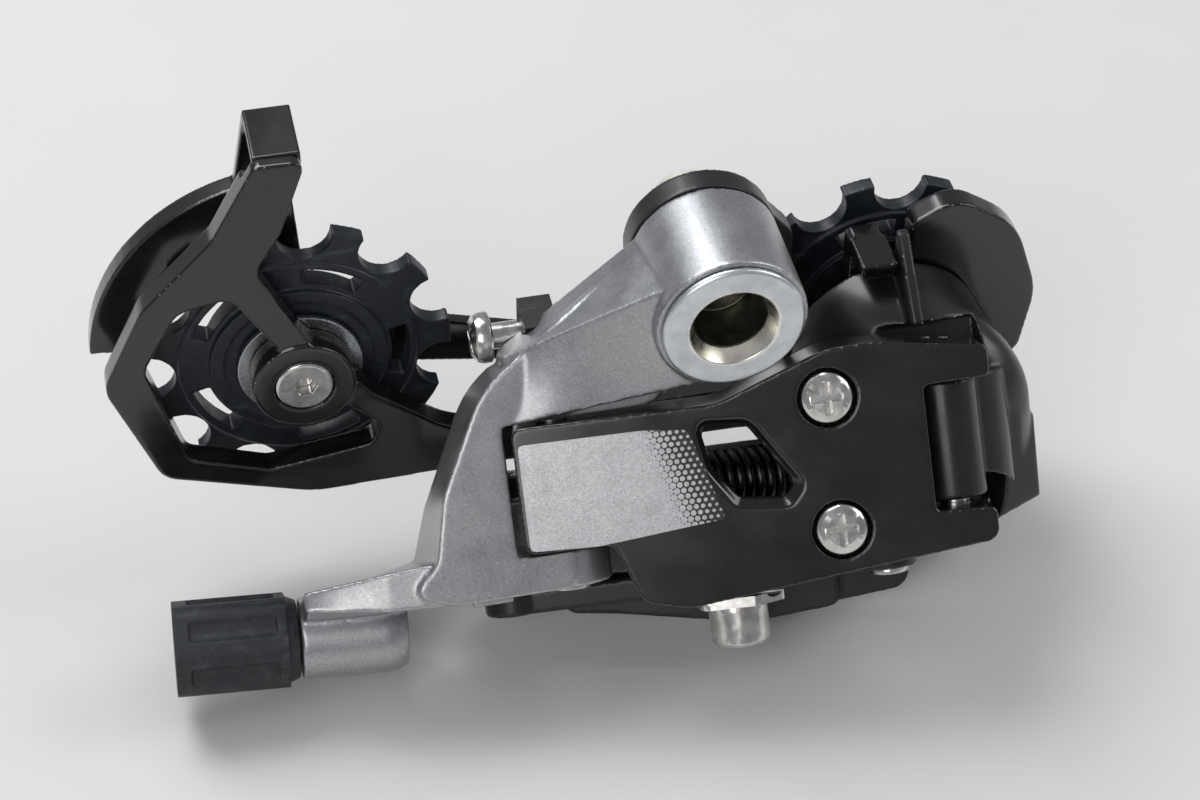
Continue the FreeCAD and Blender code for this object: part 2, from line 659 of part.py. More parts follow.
# ---------------------------------------------------------------- parallelogram links
def outer_link_corners(inset):
    """Outline of the outer link in its own frame, moved inwards by an inset."""
    top = size("fork_top") - size("side_gap")
    bottom = size("fork_bottom") + size("side_gap")
    return [
        (-5.9 + inset, top - inset, 1.5), (24, top - inset, 8), (41, -18.4 - inset, 12),
        (48, -18.4 - inset, 14), (64 - inset, -20.8 - inset, 1.2), (64 - inset, -25.4 + inset, 1.0),
        (54.2 - inset, -25.6 + inset, 0.8), (54.2 - inset, -44.2 - inset, 0.8),
        (63 - inset, -44.6 - inset, 1.0), (63 - inset, -49.4 + inset, 2.0),
        (44, -51.2 + inset, 12), (17, -53.9 + inset, 8), (10.2 + inset, -52.2 + inset, 3),
        (6.9 + inset, bottom + inset, 2), (-5.9 + inset, bottom + inset, 1.5),
    ]


def outer_link():
    """Cast outer link: a channel with a clevis at its right end."""
    face = size("link_face")
    back = face - size("link_depth")
    wall = size("link_wall")
    span = size("link_span")
    pin = size("pin_radius")
    body = slab(outer_link_corners(0), back, face)
    hollow = slab([
        (7.2, -27, 2), (23, -26.6, 4), (40, -21.6, 4), (51.8, -21.2, 2), (51.8, -28, 1), (56, -28, 1),
        (56, -42, 1), (51.8, -42, 1), (51.8, -47.4, 2), (43, -48.2, 4), (18, -50.8, 4), (12.4, -49, 3),
        (9.6, -41, 2), (7.2, -41, 1),
    ], back - 1, face - wall)
    body = body.cut(hollow)
    # the clevis arms and the left end are round about their pins
    left = block((-20, 0), (-60, 0), (back - 1, 0)).cut(post(5.9, -60, 0))
    right = block((span, span + 20), (-60, 0), (back - 5, 0)).cut(post(5.6, -60, 0, span))
    arms = joined(post(5.2, -25.6, -20.9, span), post(5.2, -49.2, -44.4, span))
    well = size("limit_well_radius")
    limit_x = size("limit_x")
    screws = [size("limit_high_p"), size("limit_low_p")]
    pillars = [drum(well - 0.3, back + 2, face, limit_x, p) for p in screws]
    anchor = post(5.0, size("anchor_seat"), -46, size("anchor_x"))
    body = body.cut([left, right])
    body = joined(body, arms, anchor, *pillars)
    outside = slab(outer_link_corners(0.0), back - 4, face)
    skirt = post(5.0, size("anchor_seat"), -50, size("anchor_x"))
    body = joined(body.common(joined(outside, arms, skirt)), skirt)
    window = slab([
        (21.2, -27.2, 1.6), (28.0, -28.0, 2.6), (34.2, -37.6, 1.6), (32.6, -39.4, 1.4),
        (26.2, -38.8, 2), (22.6, -34, 4),
    ], back, face + 1)
    bevel = tapered(
        [(21.0, -27.0, 1.6), (28.2, -27.8, 2.6), (34.5, -37.6, 1.6), (32.7, -39.7, 1.4),
         (26.0, -39.0, 2), (22.4, -34, 4)], face - 1.1,
        [(20.2, -26.3, 1.8), (28.8, -27.0, 3.0), (36.1, -37.9, 2.0), (33.4, -41.0, 1.8),
         (25.4, -40.2, 2.4), (21.4, -34, 4)], face + 0.1)
    spring_slot = block((-12, 9.6), (-40.6, -30.4), (back - 1, 4.6))
    anchor_tap = post(size("anchor_thread_radius") + size("seat_gap"), -56, -44, size("anchor_x"))
    holes = [
        post(pin + size("run_gap"), -60, -10),
        post(pin + size("seat_gap"), -60, -10, span),
        post(5.0 + 2 * size("side_gap"), -44.2, -25.6, span),
        window, bevel, spring_slot, anchor_tap,
    ]
    for p in screws:
        holes.append(drum(size("small_thread_radius") + size("run_gap"), back - 5, face + 1, limit_x, p))
        holes.append(drum(size("limit_head_radius") + 0.35, face - size("limit_well_depth"), face + 2,
                          limit_x, p))
    feature("outer_link", body.cut(holes), OUTER_LINK)


def limit_screws():
    """Two cross-headed screws that limit the travel."""
    height = "limit_head_height"
    profile = [
        ("0", "-limit_length"),
        ("small_thread_radius - 0.6", "-limit_length"),
        ("small_thread_radius", "0.8 - limit_length"),
        ("small_thread_radius", "0"),
        ("limit_head_radius", "0"),
        ("limit_head_radius", f"{height} - 1.2"),
        ("limit_head_radius - 0.5", f"{height} - 0.5"),
        ("limit_head_radius - 1.7", height),
        ("0", height),
    ]
    seat = size("link_face") - size("limit_well_depth") + 0.02
    for label, p in (("low_limit_screw", "limit_high_p"), ("high_limit_screw", "limit_low_p")):
        frame = OUTER_LINK * Placement(V(size("limit_x"), size(p), seat), Rotation())
        screw = turned(label, profile, frame)
        flip = Placement(V(0, 0, size(height)), Rotation(V(1, 0, 0), 180))
        slots = phillips(label + "_slot", frame * flip, 1.3, 4.8)
        node(less(label, screw, *slots), label)


def cable_anchor():
    """Bolt and clamp washer that hold the end of the cable."""
    seat = size("anchor_seat")
    thick = size("clamp_thickness")
    frame = pin_frame(OUTER_LINK, size("anchor_x"), seat)
    clamp = slab([
        (-5.4, -4.6, 1.5), (2.8, -5.2, 1.2), (7.0, -2.4, 0.8), (7.0, 2.0, 0.8), (2.8, 5.0, 1.2),
        (-5.4, 4.6, 1.5), (-6.2, 0, 1),
    ], -thick - 0.02, -0.02)
    groove = Part.makeCylinder(0.8, 30, V(-15, -3.4, 0), V(1, 0, 0))
    hole = drum(size("anchor_thread_radius") + 0.1, -10, 10)
    feature("cable_clamp_washer", clamp.cut([groove, hole]), frame)
    under = "clamp_thickness + 0.04"
    profile = [
        ("0", f"-({under}) - anchor_head_height"),
        ("anchor_head_radius - 0.7", f"-({under}) - anchor_head_height"),
        ("anchor_head_radius - 0.1", f"-({under}) - anchor_head_height + 0.6"),
        ("anchor_head_radius", f"-({under})"),
        ("anchor_thread_radius", f"-({under})"),
        ("anchor_thread_radius", "6.4"),
        ("anchor_thread_radius - 0.5", "7.0"),
        ("0", "7.0"),
    ]
    bolt = turned("cable_anchor_bolt", profile, frame)
    low = -worth(under) - size("anchor_head_height") - 0.5
    key = hexagon("anchor_key", "hex_socket", "4.0", shifted(frame, low))
    node(less("cable_anchor_bolt", bolt, key), "cable_anchor_bolt")


def inner_link():
    """Inner link: a web with two ears at each end, in its own frame."""
    top = size("ear_top")
    bottom = size("ear_bottom")
    thick = size("ear_thickness")
    back = size("web_back")
    span = size("link_span")
    round_end = 4.4
    web_end = size("boss_radius") + 3.2
    ears = []
    for low in (top - thick, bottom):
        strap = block((0, span), (low, low + thick), (back, -back))
        ears += [strap, post(round_end, low, low + thick), post(round_end, low, low + thick, span)]
    web = slab([
        (web_end, top, 2), (span - web_end, top, 2), (span - web_end, bottom - 5.5, 2),
        (36, bottom - 6.5, 3), (16, bottom - 2.6, 6), (web_end, bottom - 1.5, 2),
    ], back, back + size("web_thickness"))
    foot = slab([
        (36, bottom + thick, 1), (span + 3.8, bottom + thick, 1), (span + 3.2, bottom - 4.3, 3),
        (36, bottom - 6.5, 3),
    ], back - 2.2, back + 0.4)
    link = joined(web, foot, *ears)
    link = link.cut([
        post(size("inner_pin_radius") + size("run_gap"), -70, 0),
        post(size("inner_pin_radius") + size("open_pin_gap"), -70, 0, span),
    ])
    upper = V(size("outer_pin_x"), -35.5, 0)
    lower = V(LOWER_INNER.x, -40.4, LOWER_INNER.z)
    along = (lower - upper) / (lower - upper).Length
    coil_room = laid(Part.makeCylinder(5.2, 32, upper + along * 8, along), INNER_LINK.inverse() * LINK)
    feature("inner_link", (link).cut(coil_room), INNER_LINK)


# ---------------------------------------------------------------- lower knuckle
def oblong(first, second, radius, outboard):
    """Wire of a long circle about two centres, in the side frame."""
    along = V(*second, 0) - V(*first, 0)
    along.normalize()
    across = V(-along.y, along.x, 0)
    a = V(*first, 0)
    b = V(*second, 0)
    edges = [
        Part.Arc(a + across * radius, a - along * radius, a - across * radius).toShape(),
        Part.makeLine(a - across * radius, b - across * radius),
        Part.Arc(b - across * radius, b + along * radius, b + across * radius).toShape(),
        Part.makeLine(b + across * radius, a + across * radius),
    ]
    wire = Part.Wire(edges)
    wire.translate(V(0, 0, outboard))
    return wire


def lower_knuckle():
    """Lower knuckle: spring chamber, hinge barrel of the outer link and boss of the inner link."""
    back = size("housing_back")
    pivot_x = size("cage_pivot_x")
    pivot_z = size("cage_pivot_z")
    dome = laid(Part.makeLoft([
        oblong((pivot_x - 6, pivot_z + 11), (pivot_x + 0.5, pivot_z - 1), 15, back),
        oblong((pivot_x - 4.2, pivot_z + 10.2), (pivot_x + 1.6, pivot_z - 2.6), 14.4, back + 7),
        oblong((pivot_x + 0.6, pivot_z + 8.4), (pivot_x + 3, pivot_z - 5), 11.8, back + 15.5),
        oblong((pivot_x + 1.4, pivot_z + 6.4), (pivot_x + 3.2, pivot_z - 6), 8.6, back + 19.5),
    ], True, False), side_frame())
    fin_low = -16
    fin = Part.Face(Part.makePolygon([V(29.3, y, z) for y, z in (
        (-back - 1.5, fin_low), (-back - 1.5, -1.2), (-back - 3, -1.2), (-back - 17, -14.5),
        (-back - 17, -20), (-back - 1.5, fin_low))])).extrude(V(1.8, 0, 0))

    hinge_low = -43.6
    hinge_high = -26.0
    bx, bn = LOWER_OUTER.x, LOWER_OUTER.z
    cx, cn = LOWER_INNER.x, LOWER_INNER.z
    hinge = post(5.0, hinge_low, hinge_high, bx, bn)
    web = block((bx - 3.4, bx + 5.0), (hinge_low, hinge_high), (-6, bn))
    shoulder = joined(post(6.6, hinge_low, hinge_high, bx + 4.6, bn - 6.2),
                      post(5.6, hinge_low, hinge_high, bx + 6.4, bn - 9.5))
    boss_low = size("ear_bottom") + size("ear_thickness") + size("side_gap")
    cheek_high = -36.2
    cheek = Part.makeLoft([
        cross_section(cx + 1.5, [(cheek_high - 6, cn - 4.4), (boss_low, cn - 4.4),
                                 (boss_low, cn + 4.4), (cheek_high - 6, cn + 4.4)]),
        cross_section(bx + 8, [(cheek_high + 8, cn - 7), (boss_low + 1.5, cn - 6),
                               (boss_low + 1.5, cn + 7), (cheek_high + 8, cn + 9)]),
        cross_section(bx + 17.5, [(cheek_high + 1, cn - 4), (boss_low + 3.5, cn - 5),
                                  (boss_low + 3.5, cn + 2), (cheek_high + 1, cn + 3)]),
    ], True, True)
    boss = post(size("boss_radius"), boss_low, -43.4, cx, cn)
    hook_room = post(size("boss_radius") + 1.6, -43.0, -33.2, cx, cn)
    hook_way = block((cx - 20, cx), (-43.0, -33.2), (cn - 6.2, cn + 6.2))
    link_room = post(5.4, -38.0, -33.2, cx, cn)

    metal = joined(dome, fin, laid(joined(hinge, web, shoulder, cheek, boss), LINK))
    outboard_end = back + 30
    room = size("spring_room")
    chamber = drum(size("spring_chamber_radius"), back - 1, back + room, pivot_x, pivot_z)
    groove = drum(size("spring_chamber_radius") + 1.7, back - 1, back + 1.35, pivot_x, pivot_z)
    axle = drum(size("axle_radius") + size("run_gap"), back, size("axle_length") - 1.4, pivot_x, pivot_z)
    clip_room = drum(size("axle_radius") + 2.4, size("axle_length") - 2.6, outboard_end, pivot_x, pivot_z)
    holes = [laid(shape, side_frame()) for shape in (chamber, groove, axle, clip_room)]
    holes += [laid(shape, LINK) for shape in (
        hook_room, hook_way, link_room,
        post(size("pin_radius") + size("run_gap"), -60, 0, bx, bn),
        post(size("inner_pin_radius") + size("seat_gap"), -70, -43, cx, cn),
        block((bx - 12, bx + 8), (hinge_high, hinge_high + 8), (bn - 7, bn + 12)),
        block((bx - 12, bx + 8), (hinge_low - 8, hinge_low), (bn - 7, bn + 12)),
    )]
    feature("p_knuckle", max(metal.cut(holes).Solids, key=lambda solid: solid.Volume))


def lower_pins():
    """Pins at the lower ends of the links."""
    outer = rod("outer_pin_p_shank", "pin_radius", "27.6", pin_frame(LINK, LOWER_OUTER.x, -48.8, LOWER_OUTER.z))
    node(outer, "outer_pin_p")
    low = size("ear_bottom") - 0.1
    inner = rod("inner_pin_p_shank", "inner_pin_radius", "ear_top - ear_bottom + 0.5",
                pin_frame(LINK, LOWER_INNER.x, low, LOWER_INNER.z))
    head = rod("inner_pin_p_head", "pin_head_radius", "pin_head_height",
               pin_frame(LINK, LOWER_INNER.x, low - size("pin_head_height"), LOWER_INNER.z))
    whole = doc.addObject("Part::Fuse", "inner_pin_p_whole")
    whole.Base = inner
    whole.Tool = head
    node(whole, "inner_pin_p")


def return_spring():
    """Extension spring across the parallelogram, from the upper outer pin to the lower inner pin."""
    start = V(size("outer_pin_x"), -35.5, 0)
    end = V(LOWER_INNER.x, -40.4, LOWER_INNER.z)
    along = end - start
    length = along.Length
    wire = 0.75
    turns = 17
    pitch = 2 * wire + 0.12
    radius = 3.9
    coil_length = pitch * turns
    begin = (length - coil_length) / 2 - 1.5
    frame = Placement(start, Rotation(V(0, 0, 1), along))
    body = coil(radius, wire, pitch, turns, shifted(frame, begin))
    pieces = []
    for centre, reach, pin, way in ((start, begin, "pin_radius", 1), (end, length - begin - coil_length,
                                                                       "inner_pin_radius", -1)):
        eye = size(pin) + 0.25 + wire
        ring = Part.makeTorus(eye, wire, centre, V(0, 1, 0))
        leg_start = centre + along * (way * eye / length)
        leg = Part.makeCylinder(wire, reach - eye + wire, leg_start, along * way)
        foot = centre + along * (way * reach / length)
        bar = Part.makeCylinder(wire, radius + 0.35, foot, frame.Rotation.multVec(V(1, 0, 0)))
        pieces += [ring, leg, bar]
    whole = body.fuse(pieces)
    feature("return_spring", whole, LINK)


# ---------------------------------------------------------------- cage
def cage_outer_plate():
    """Outer cage plate with its window, guard lobe and stop tab."""
    back = -size("plate_y")
    front = back + size("plate_thickness")
    tx, tz = size("tension_x"), size("tension_z")
    gx, gz = size("guide_x"), size("guide_z")
    px, pz = size("cage_pivot_x"), size("cage_pivot_z")
    frame_part = slab([
        (tx - 4.2, tz + 41.1, 1.4), (tx + 3.2, tz + 41.0, 1.4), (tx - 1.4, tz + 28.6, 3),
        (tx - 5.6, tz + 22.2, 4), (tx + 0.6, tz + 9, 6), (tx + 10.2, tz - 4.0, 10),
        (tx + 23, tz - 14.6, 14), (px - 12, pz + 4.6, 6), (px - 12, pz - 4.6, 6),
        (tx + 22, tz - 21.6, 20), (tx, tz - 22.2, 14), (tx - 22.4, tz - 14.9, 4),
        (tx - 29.2, tz + 4.2, 5), (tx - 22.4, tz + 17.8, 7), (tx - 11.2, tz + 29, 6),
    ], back, front)
    window = slab([
        (tx - 9.4, tz + 18.2, 3), (tx - 17.2, tz + 16.8, 4), (tx - 23.0, tz + 6.6, 4),
        (tx - 18.2, tz - 11.8, 2.4), (tx - 6.4, tz - 16.2, 3), (tx + 9.4, tz - 13.9, 1.8),
        (tx + 10.8, tz - 10.0, 1.5), (tx + 1.0, tz - 0.5, 1),
    ], back - 1, front + 1)
    boss = drum(size("plate_boss_radius"), back, front + size("plate_boss_height"), tx, tz)
    hub = drum(16.0, back, front, px - 2.0, pz + 3.5)
    lobe = slab([
        (gx + 2.4, gz - 6, 2), (gx + 2.2, gz + 20.6, 1.6), (gx + 8.8, gz + 24.2, 7),
        (gx + 19.0, gz + 17.4, 13), (gx + 23.4, gz + 4, 14), (gx + 21.6, gz - 7.6, 3), (px + 4, pz - 4, 3),
    ], back, front)
    tab_left, tab_right = gx - 7.2, gx - 1.7
    tab_top = gz + 18.6
    root = slab([
        (tab_left, gz, 1), (tab_left, tab_top, 1.2), (tab_right, tab_top, 1.2), (tab_right, gz, 1),
    ], back, front)
    tab = block((tab_left, tab_right), (tab_top - 2.5, tab_top), (front - 1, front + 6.1))
    plate = joined(frame_part.cut(window), boss, hub, lobe, root, tab)
    seat = 1.7
    head = size("pulley_bolt_head") + 0.1
    holes = [
        drum(size("pulley_bolt_radius") + size("seat_gap"), back - 1, front + 2, tx, tz),
        drum(head, front + size("plate_boss_height") - seat, front + 2, tx, tz),
        drum(size("pulley_bolt_radius") + size("seat_gap"), back - 1, front + 2, gx, gz),
        drum(size("axle_radius") + size("seat_gap"), back - 1, front + 1, px, pz),
        drum(size("axle_flange_radius") + 0.05, back - 1, back + size("axle_flange"), px, pz),
        block((tx - 6, tx + 5), (tz + 38.2, tz + 50), (back - 1, front - 2.2)),
    ]
    feature("outer_cage_plate", plate.cut(holes), side_frame())


def cage_inner_plate():
    """Inner cage plate with the chain guard around the tension pulley and the bridging tab."""
    near = -size("plate_y") - size("pulley_room")
    far = near - size("inner_plate_thickness")
    tx, tz = size("tension_x"), size("tension_z")
    gx, gz = size("guide_x"), size("guide_z")
    px, pz = size("cage_pivot_x"), size("cage_pivot_z")
    bar = slab([
        (tx, tz + 8.4, 6), (tx + 13, tz + 1.2, 10), (tx + 36, tz - 5.6, 20), (px - 22, pz + 4.4, 10),
        (gx - 6.6, gz + 2, 5), (gx - 2, gz + 7.4, 5), (gx + 6.8, gz + 4, 6), (px + 5, pz - 2, 5),
        (px - 3, pz - 5, 5), (px - 22, pz - 2.6, 20), (tx + 36, tz - 12.2, 20), (tx + 8, tz - 7.4, 8),
        (tx - 7.8, tz - 7, 7), (tx - 8, tz + 6.4, 5),
    ], far, near)
    leg = slab([
        (tx - 7.4, tz, 2), (tx - 7.0, tz + 27, 3), (tx - 4.2, tz + 41.1, 0.6), (tx + 2.7, tz + 41.1, 0.6),
        (tx + 1.6, tz + 27, 3), (tx + 3.0, tz, 2),
    ], far, near)
    tab = block((tx - 4.2, tx + 2.7), (tz + 38.5, tz + 41.1), (far, -size("plate_y") + 1.7))
    ring_low, ring_high = 24.3, 30.6
    ring = drum(ring_high, far, near + 1.6, tx, tz).cut(drum(ring_low, far - 1, near + 3, tx, tz))
    start, end = math.radians(96), math.radians(175)
    wedge = Part.makePolygon([V(tx, tz, far - 1)] + [
        V(tx + 50 * math.cos(start + (end - start) * i / 4), tz + 50 * math.sin(start + (end - start) * i / 4),
          far - 1) for i in range(5)] + [V(tx, tz, far - 1)])
    ring = ring.common(Part.Face(wedge).extrude(V(0, 0, 10)))
    plate = joined(bar, leg, tab, ring)
    bolt = size("pulley_bolt_radius") + size("seat_gap")
    holes = [drum(bolt, far - 1, near + 1, tx, tz), drum(bolt, far - 1, near + 1, gx, gz)]
    feature("inner_cage_plate", plate.cut(holes), side_frame())


def pulley_bolt(label, x, z, from_outboard):
    """Flat-headed bolt through a pulley, entered from one side or the other."""
    reach = "pulley_room + plate_thickness + inner_plate_thickness"
    head = 1.65
    if from_outboard:
        length = f"{reach} + plate_boss_height - {head}"
        frame = side_frame(x, z, size("plate_thickness") - size("plate_y") + size("plate_boss_height") - head)
    else:
        length = f"{reach} - 0.1"
        inner_face = -size("plate_y") - size("pulley_room") - size("inner_plate_thickness")
        frame = side_frame(x, z, inner_face) * Placement(V(), Rotation(V(1, 0, 0), 180))
    profile = [
        ("0", f"-({length})"),
        ("pulley_bolt_radius - 0.4", f"-({length})"),
        ("pulley_bolt_radius", f"0.4 - ({length})"),
        ("pulley_bolt_radius", "0.02"),
        ("pulley_bolt_head", "0.02"),
        ("pulley_bolt_head", f"{head} - 0.3"),
        ("pulley_bolt_head - 0.35", f"{head}"),
        ("0", f"{head}"),
    ]
    bolt = turned(label, profile, frame)
    key = hexagon(label + "_key", "pulley_bolt_key", "3.0", shifted(frame, head - 2.0))
    node(less(label, bolt, key), label)


def cage_axle():
    """Hollow axle of the cage with its clip, spring and seal."""
    px, pz = size("cage_pivot_x"), size("cage_pivot_z")
    frame = side_frame(px, pz, -size("plate_y"))
    total = "axle_flange + axle_length"
    profile = [
        ("axle_radius - 2.2", "0.02"),
        ("axle_flange_radius", "0.02"),
        ("axle_flange_radius", "axle_flange - 0.02"),
        ("axle_radius", "axle_flange - 0.02"),
        ("axle_radius", f"{total} - 2.0"),
        ("axle_radius - 0.7", f"{total} - 2.0"),
        ("axle_radius - 0.7", f"{total} - 1.0"),
        ("axle_radius", f"{total} - 1.0"),
        ("axle_radius", f"{total} - 0.4"),
        ("axle_radius - 0.4", total),
        ("axle_radius - 2.2", total),
    ]
    node(turned("cage_axle", profile, frame), "cage_axle")
    clip = tube("cage_axle_clip", "axle_radius + 1.0", "axle_radius - 0.7 + seat_gap", "0.9",
                shifted(frame, worth(total) - 1.95))
    node(clip, "cage_axle_clip")
    wire = size("cage_spring_wire")
    pitch = 2 * wire + 0.15
    turns = 2.5
    start = size("housing_back") + wire + 0.4
    spring = coil(size("cage_spring_radius"), wire, pitch, turns, Placement())
    feature("cage_spring", spring, side_frame(px, pz, start))
    seal = doc.addObject("Part::Torus", "cage_seal_ring")
    seal.setExpression("Radius1", bound("spring_chamber_radius + 0.9"))
    seal.setExpression("Radius2", bound("seal_wire"))
    seal.Placement = side_frame(px, pz, size("housing_back") + size("seal_wire") + 0.05)
    node(seal, "cage_seal")


# ---------------------------------------------------------------- pulleys
def pulley_wheel(label, x, z, phase, bore):
    """Moulded eleven-tooth wheel with a hub ring and curved slots."""
    count = int(size("tooth_count"))
    pitch_radius = size("chain_pitch") / 2 / math.sin(math.pi / count)
    half = size("tooth_width") / 2
    step = 2 * math.pi / count
    ring = drum(pitch_radius + size("tooth_tip"), -half, half)
    seats = [drum(size("roller_seat"), -half - 1, half + 1, pitch_radius * math.cos(step * (i + 0.5)),
                  pitch_radius * math.sin(step * (i + 0.5))) for i in range(count)]
    rim = pitch_radius - size("roller_seat") - 0.5
    web = drum(rim, -size("web_width") / 2, size("web_width") / 2)
    hub = drum(size("hub_radius"), -size("hub_width") / 2, size("hub_width") / 2)
    pan_radius = size("hub_radius") - size("hub_wall")
    pan_half = size("hub_pan_width") / 2
    pans = [drum(pan_radius, pan_half, 5), drum(pan_radius, -5, -pan_half)]
    wheel = joined(ring.cut(seats), web, hub).cut(pans)
    slot_inner, slot_outer = size("hub_radius") + 0.7, rim - 1.2
    slots = 5
    band = drum(slot_outer, -4, 4).cut(drum(slot_inner, -5, 5))
    for i in range(slots):
        turn = 2 * math.pi * i / slots
        width = math.radians(34)
        corners = [V(0, 0, -4)] + [V(25 * math.cos(turn + side * width / 2),
                                     25 * math.sin(turn + side * width / 2), -4) for side in (-1, 1)]
        wedge = Part.Face(Part.makePolygon(corners + corners[:1])).extrude(V(0, 0, 8))
        wheel = wheel.cut(band.common(wedge))
    wheel = wheel.cut(drum(bore, -6, 6))
    middle = -size("plate_y") - size("pulley_room") / 2
    frame = side_frame(x, z, middle) * Placement(V(), Rotation(V(0, 0, 1), phase))
    feature(label, wheel, frame)


def dust_caps(prefix, x, z):
    """Two thin caps beside a pulley, clamped with its bush."""
    near = -size("plate_y") - 0.1 - size("cap_thickness")
    far = -size("plate_y") - size("pulley_room") + 0.1
    for side, start in (("outer", near), ("inner", far)):
        cap = tube(f"{prefix}_cap_{side}", "cap_radius", "guide_bush_radius + run_gap", "cap_thickness",
                   side_frame(x, z, start))
        node(cap, f"{prefix}_cap_{side}")


def guide_pulley():
    """Guide pulley on its plain bush."""
    x, z = size("guide_x"), size("guide_z")
    pulley_wheel("guide_pulley_wheel", x, z, size("guide_phase"),
                 size("guide_bush_radius") + size("run_gap"))
    bush = tube("guide_bush", "guide_bush_radius", "pulley_bolt_radius + seat_gap", "pulley_room - 0.04",
                side_frame(x, z, 0.02 - size("plate_y") - size("pulley_room")))
    node(bush, "guide_bush")
    dust_caps("guide", x, z)
    pulley_bolt("guide_pulley_bolt", x, z, False)


def tension_pulley():
    """Tension pulley on a ball bearing and a sleeve."""
    x, z = size("tension_x"), size("tension_z")
    outer = size("bearing_outer_radius")
    inner = size("bearing_inner_radius")
    wall = size("bearing_ring_wall")
    half = size("bearing_width") / 2
    ball = size("ball_radius")
    pulley_wheel("tension_pulley_wheel", x, z, size("tension_phase"), outer + size("seat_gap"))
    track = (outer + inner) / 2
    race = Part.makeTorus(track, ball + size("run_gap"))
    middle = side_frame(x, z, -size("plate_y") - size("pulley_room") / 2)
    rings = (("tension_bearing_outer", outer, outer - wall), ("tension_bearing_inner", inner + wall, inner))
    for label, outside, bore in rings:
        ring = drum(outside, -half, half).cut(drum(bore, -half - 1, half + 1)).cut(race)
        feature(label, ring, middle)
    count = int(size("ball_count"))
    balls = [Part.makeSphere(ball, V(track * math.cos(2 * math.pi * i / count),
                                     track * math.sin(2 * math.pi * i / count), 0)) for i in range(count)]
    thing = doc.addObject("Part::Feature", "tension_balls_shape")
    thing.Shape = Part.makeCompound(balls)
    thing.Placement = middle
    node(thing, "tension_bearing_balls")
    sleeve = tube("tension_sleeve", "bearing_inner_radius - seat_gap", "pulley_bolt_radius + seat_gap",
                  "pulley_room - 0.04", side_frame(x, z, 0.02 - size("plate_y") - size("pulley_room")))
    node(sleeve, "tension_sleeve")
    dust_caps("tension", x, z)
    pulley_bolt("tension_pulley_bolt", x, z, True)


def check_document():
    """Stop if any object failed or any sub-part is empty or broken."""
    doc.recompute()
    for thing in doc.Objects:
        failed = {"Invalid", "Error"} & set(thing.State)
        if failed:
            raise RuntimeError(f"{thing.Label} failed: {thing.State}")
    for thing in nodes:
        if thing.Shape.isNull() or not thing.Shape.isValid():
            raise RuntimeError(f"{thing.Label} has no valid shape")


def write_parts():
    """One STEP file for each sub-part."""
    os.makedirs("parts", exist_ok=True)
    for thing in nodes:
        thing.Shape.exportStep(f"parts/{thing.Label}.step")
        box = thing.Shape.BoundBox
        print(f"{thing.Label:24s} {len(thing.Shape.Solids):2d} {thing.Shape.Volume:9.1f}"
              f"  x {box.XMin:6.1f} {box.XMax:6.1f}  y {box.YMin:6.1f} {box.YMax:6.1f}"
              f"  z {box.ZMin:6.1f} {box.ZMax:6.1f}")


hanger_bolt()
mounting_washer()
knuckle_bearings()
upper_knuckle()
knuckle_pins()
tension_screw()
barrel_adjuster()
outer_link()
limit_screws()
cable_anchor()
inner_link()
lower_knuckle()
lower_pins()
return_spring()
cage_outer_plate()
cage_inner_plate()
cage_axle()
guide_pulley()
tension_pulley()
check_document()
write_parts()
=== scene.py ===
import json
import math

import bmesh
import bpy
import numpy as np
from mathutils import Matrix, Vector


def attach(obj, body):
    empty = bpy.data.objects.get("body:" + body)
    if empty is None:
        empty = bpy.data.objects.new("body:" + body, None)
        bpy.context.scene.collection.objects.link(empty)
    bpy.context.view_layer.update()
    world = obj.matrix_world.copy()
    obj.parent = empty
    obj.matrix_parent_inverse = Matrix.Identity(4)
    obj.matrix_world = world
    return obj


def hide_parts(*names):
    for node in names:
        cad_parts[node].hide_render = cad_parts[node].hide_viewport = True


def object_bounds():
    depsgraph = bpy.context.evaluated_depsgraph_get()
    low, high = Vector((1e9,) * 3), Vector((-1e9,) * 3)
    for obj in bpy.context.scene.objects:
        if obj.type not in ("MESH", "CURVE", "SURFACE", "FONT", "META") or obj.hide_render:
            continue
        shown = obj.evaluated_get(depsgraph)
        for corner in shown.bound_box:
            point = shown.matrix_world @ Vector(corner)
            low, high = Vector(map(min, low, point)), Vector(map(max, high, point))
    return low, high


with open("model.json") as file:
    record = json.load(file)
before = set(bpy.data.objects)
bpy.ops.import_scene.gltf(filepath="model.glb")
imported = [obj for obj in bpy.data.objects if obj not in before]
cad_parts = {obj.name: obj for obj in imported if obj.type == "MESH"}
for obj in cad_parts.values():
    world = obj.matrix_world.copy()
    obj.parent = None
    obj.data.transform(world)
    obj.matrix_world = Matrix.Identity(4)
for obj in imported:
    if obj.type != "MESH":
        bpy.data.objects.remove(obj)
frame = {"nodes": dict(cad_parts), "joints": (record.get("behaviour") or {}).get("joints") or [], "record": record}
cad_box = [list(corner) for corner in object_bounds()]

MM = 0.001
JOINTS = {joint["name"]: joint for joint in frame["joints"]}
BODY_OF = {node: body for body, nodes in frame["record"]["behaviour"]["bodies"].items() for node in nodes}
SLOT_OF = {part["node"]: part["material_slot"] for part in frame["record"]["subparts"]}


FLAKES_PER_METRE = 5200         # bright flakes of the silver paint
DARK_FLAKES_PER_METRE = 4300
PAINT_DARK = (0.36, 0.365, 0.38)
PAINT_LIGHT = (0.44, 0.445, 0.455)
FLAKE_LIGHT = (0.86, 0.87, 0.89)
FLAKE_DARK = (0.16, 0.16, 0.17)
PAINT_WORN = (0.78, 0.79, 0.80)
DUST = (0.16, 0.15, 0.14)
NICK = (0.72, 0.71, 0.69)
PANEL_BLACK = (0.014, 0.014, 0.016)


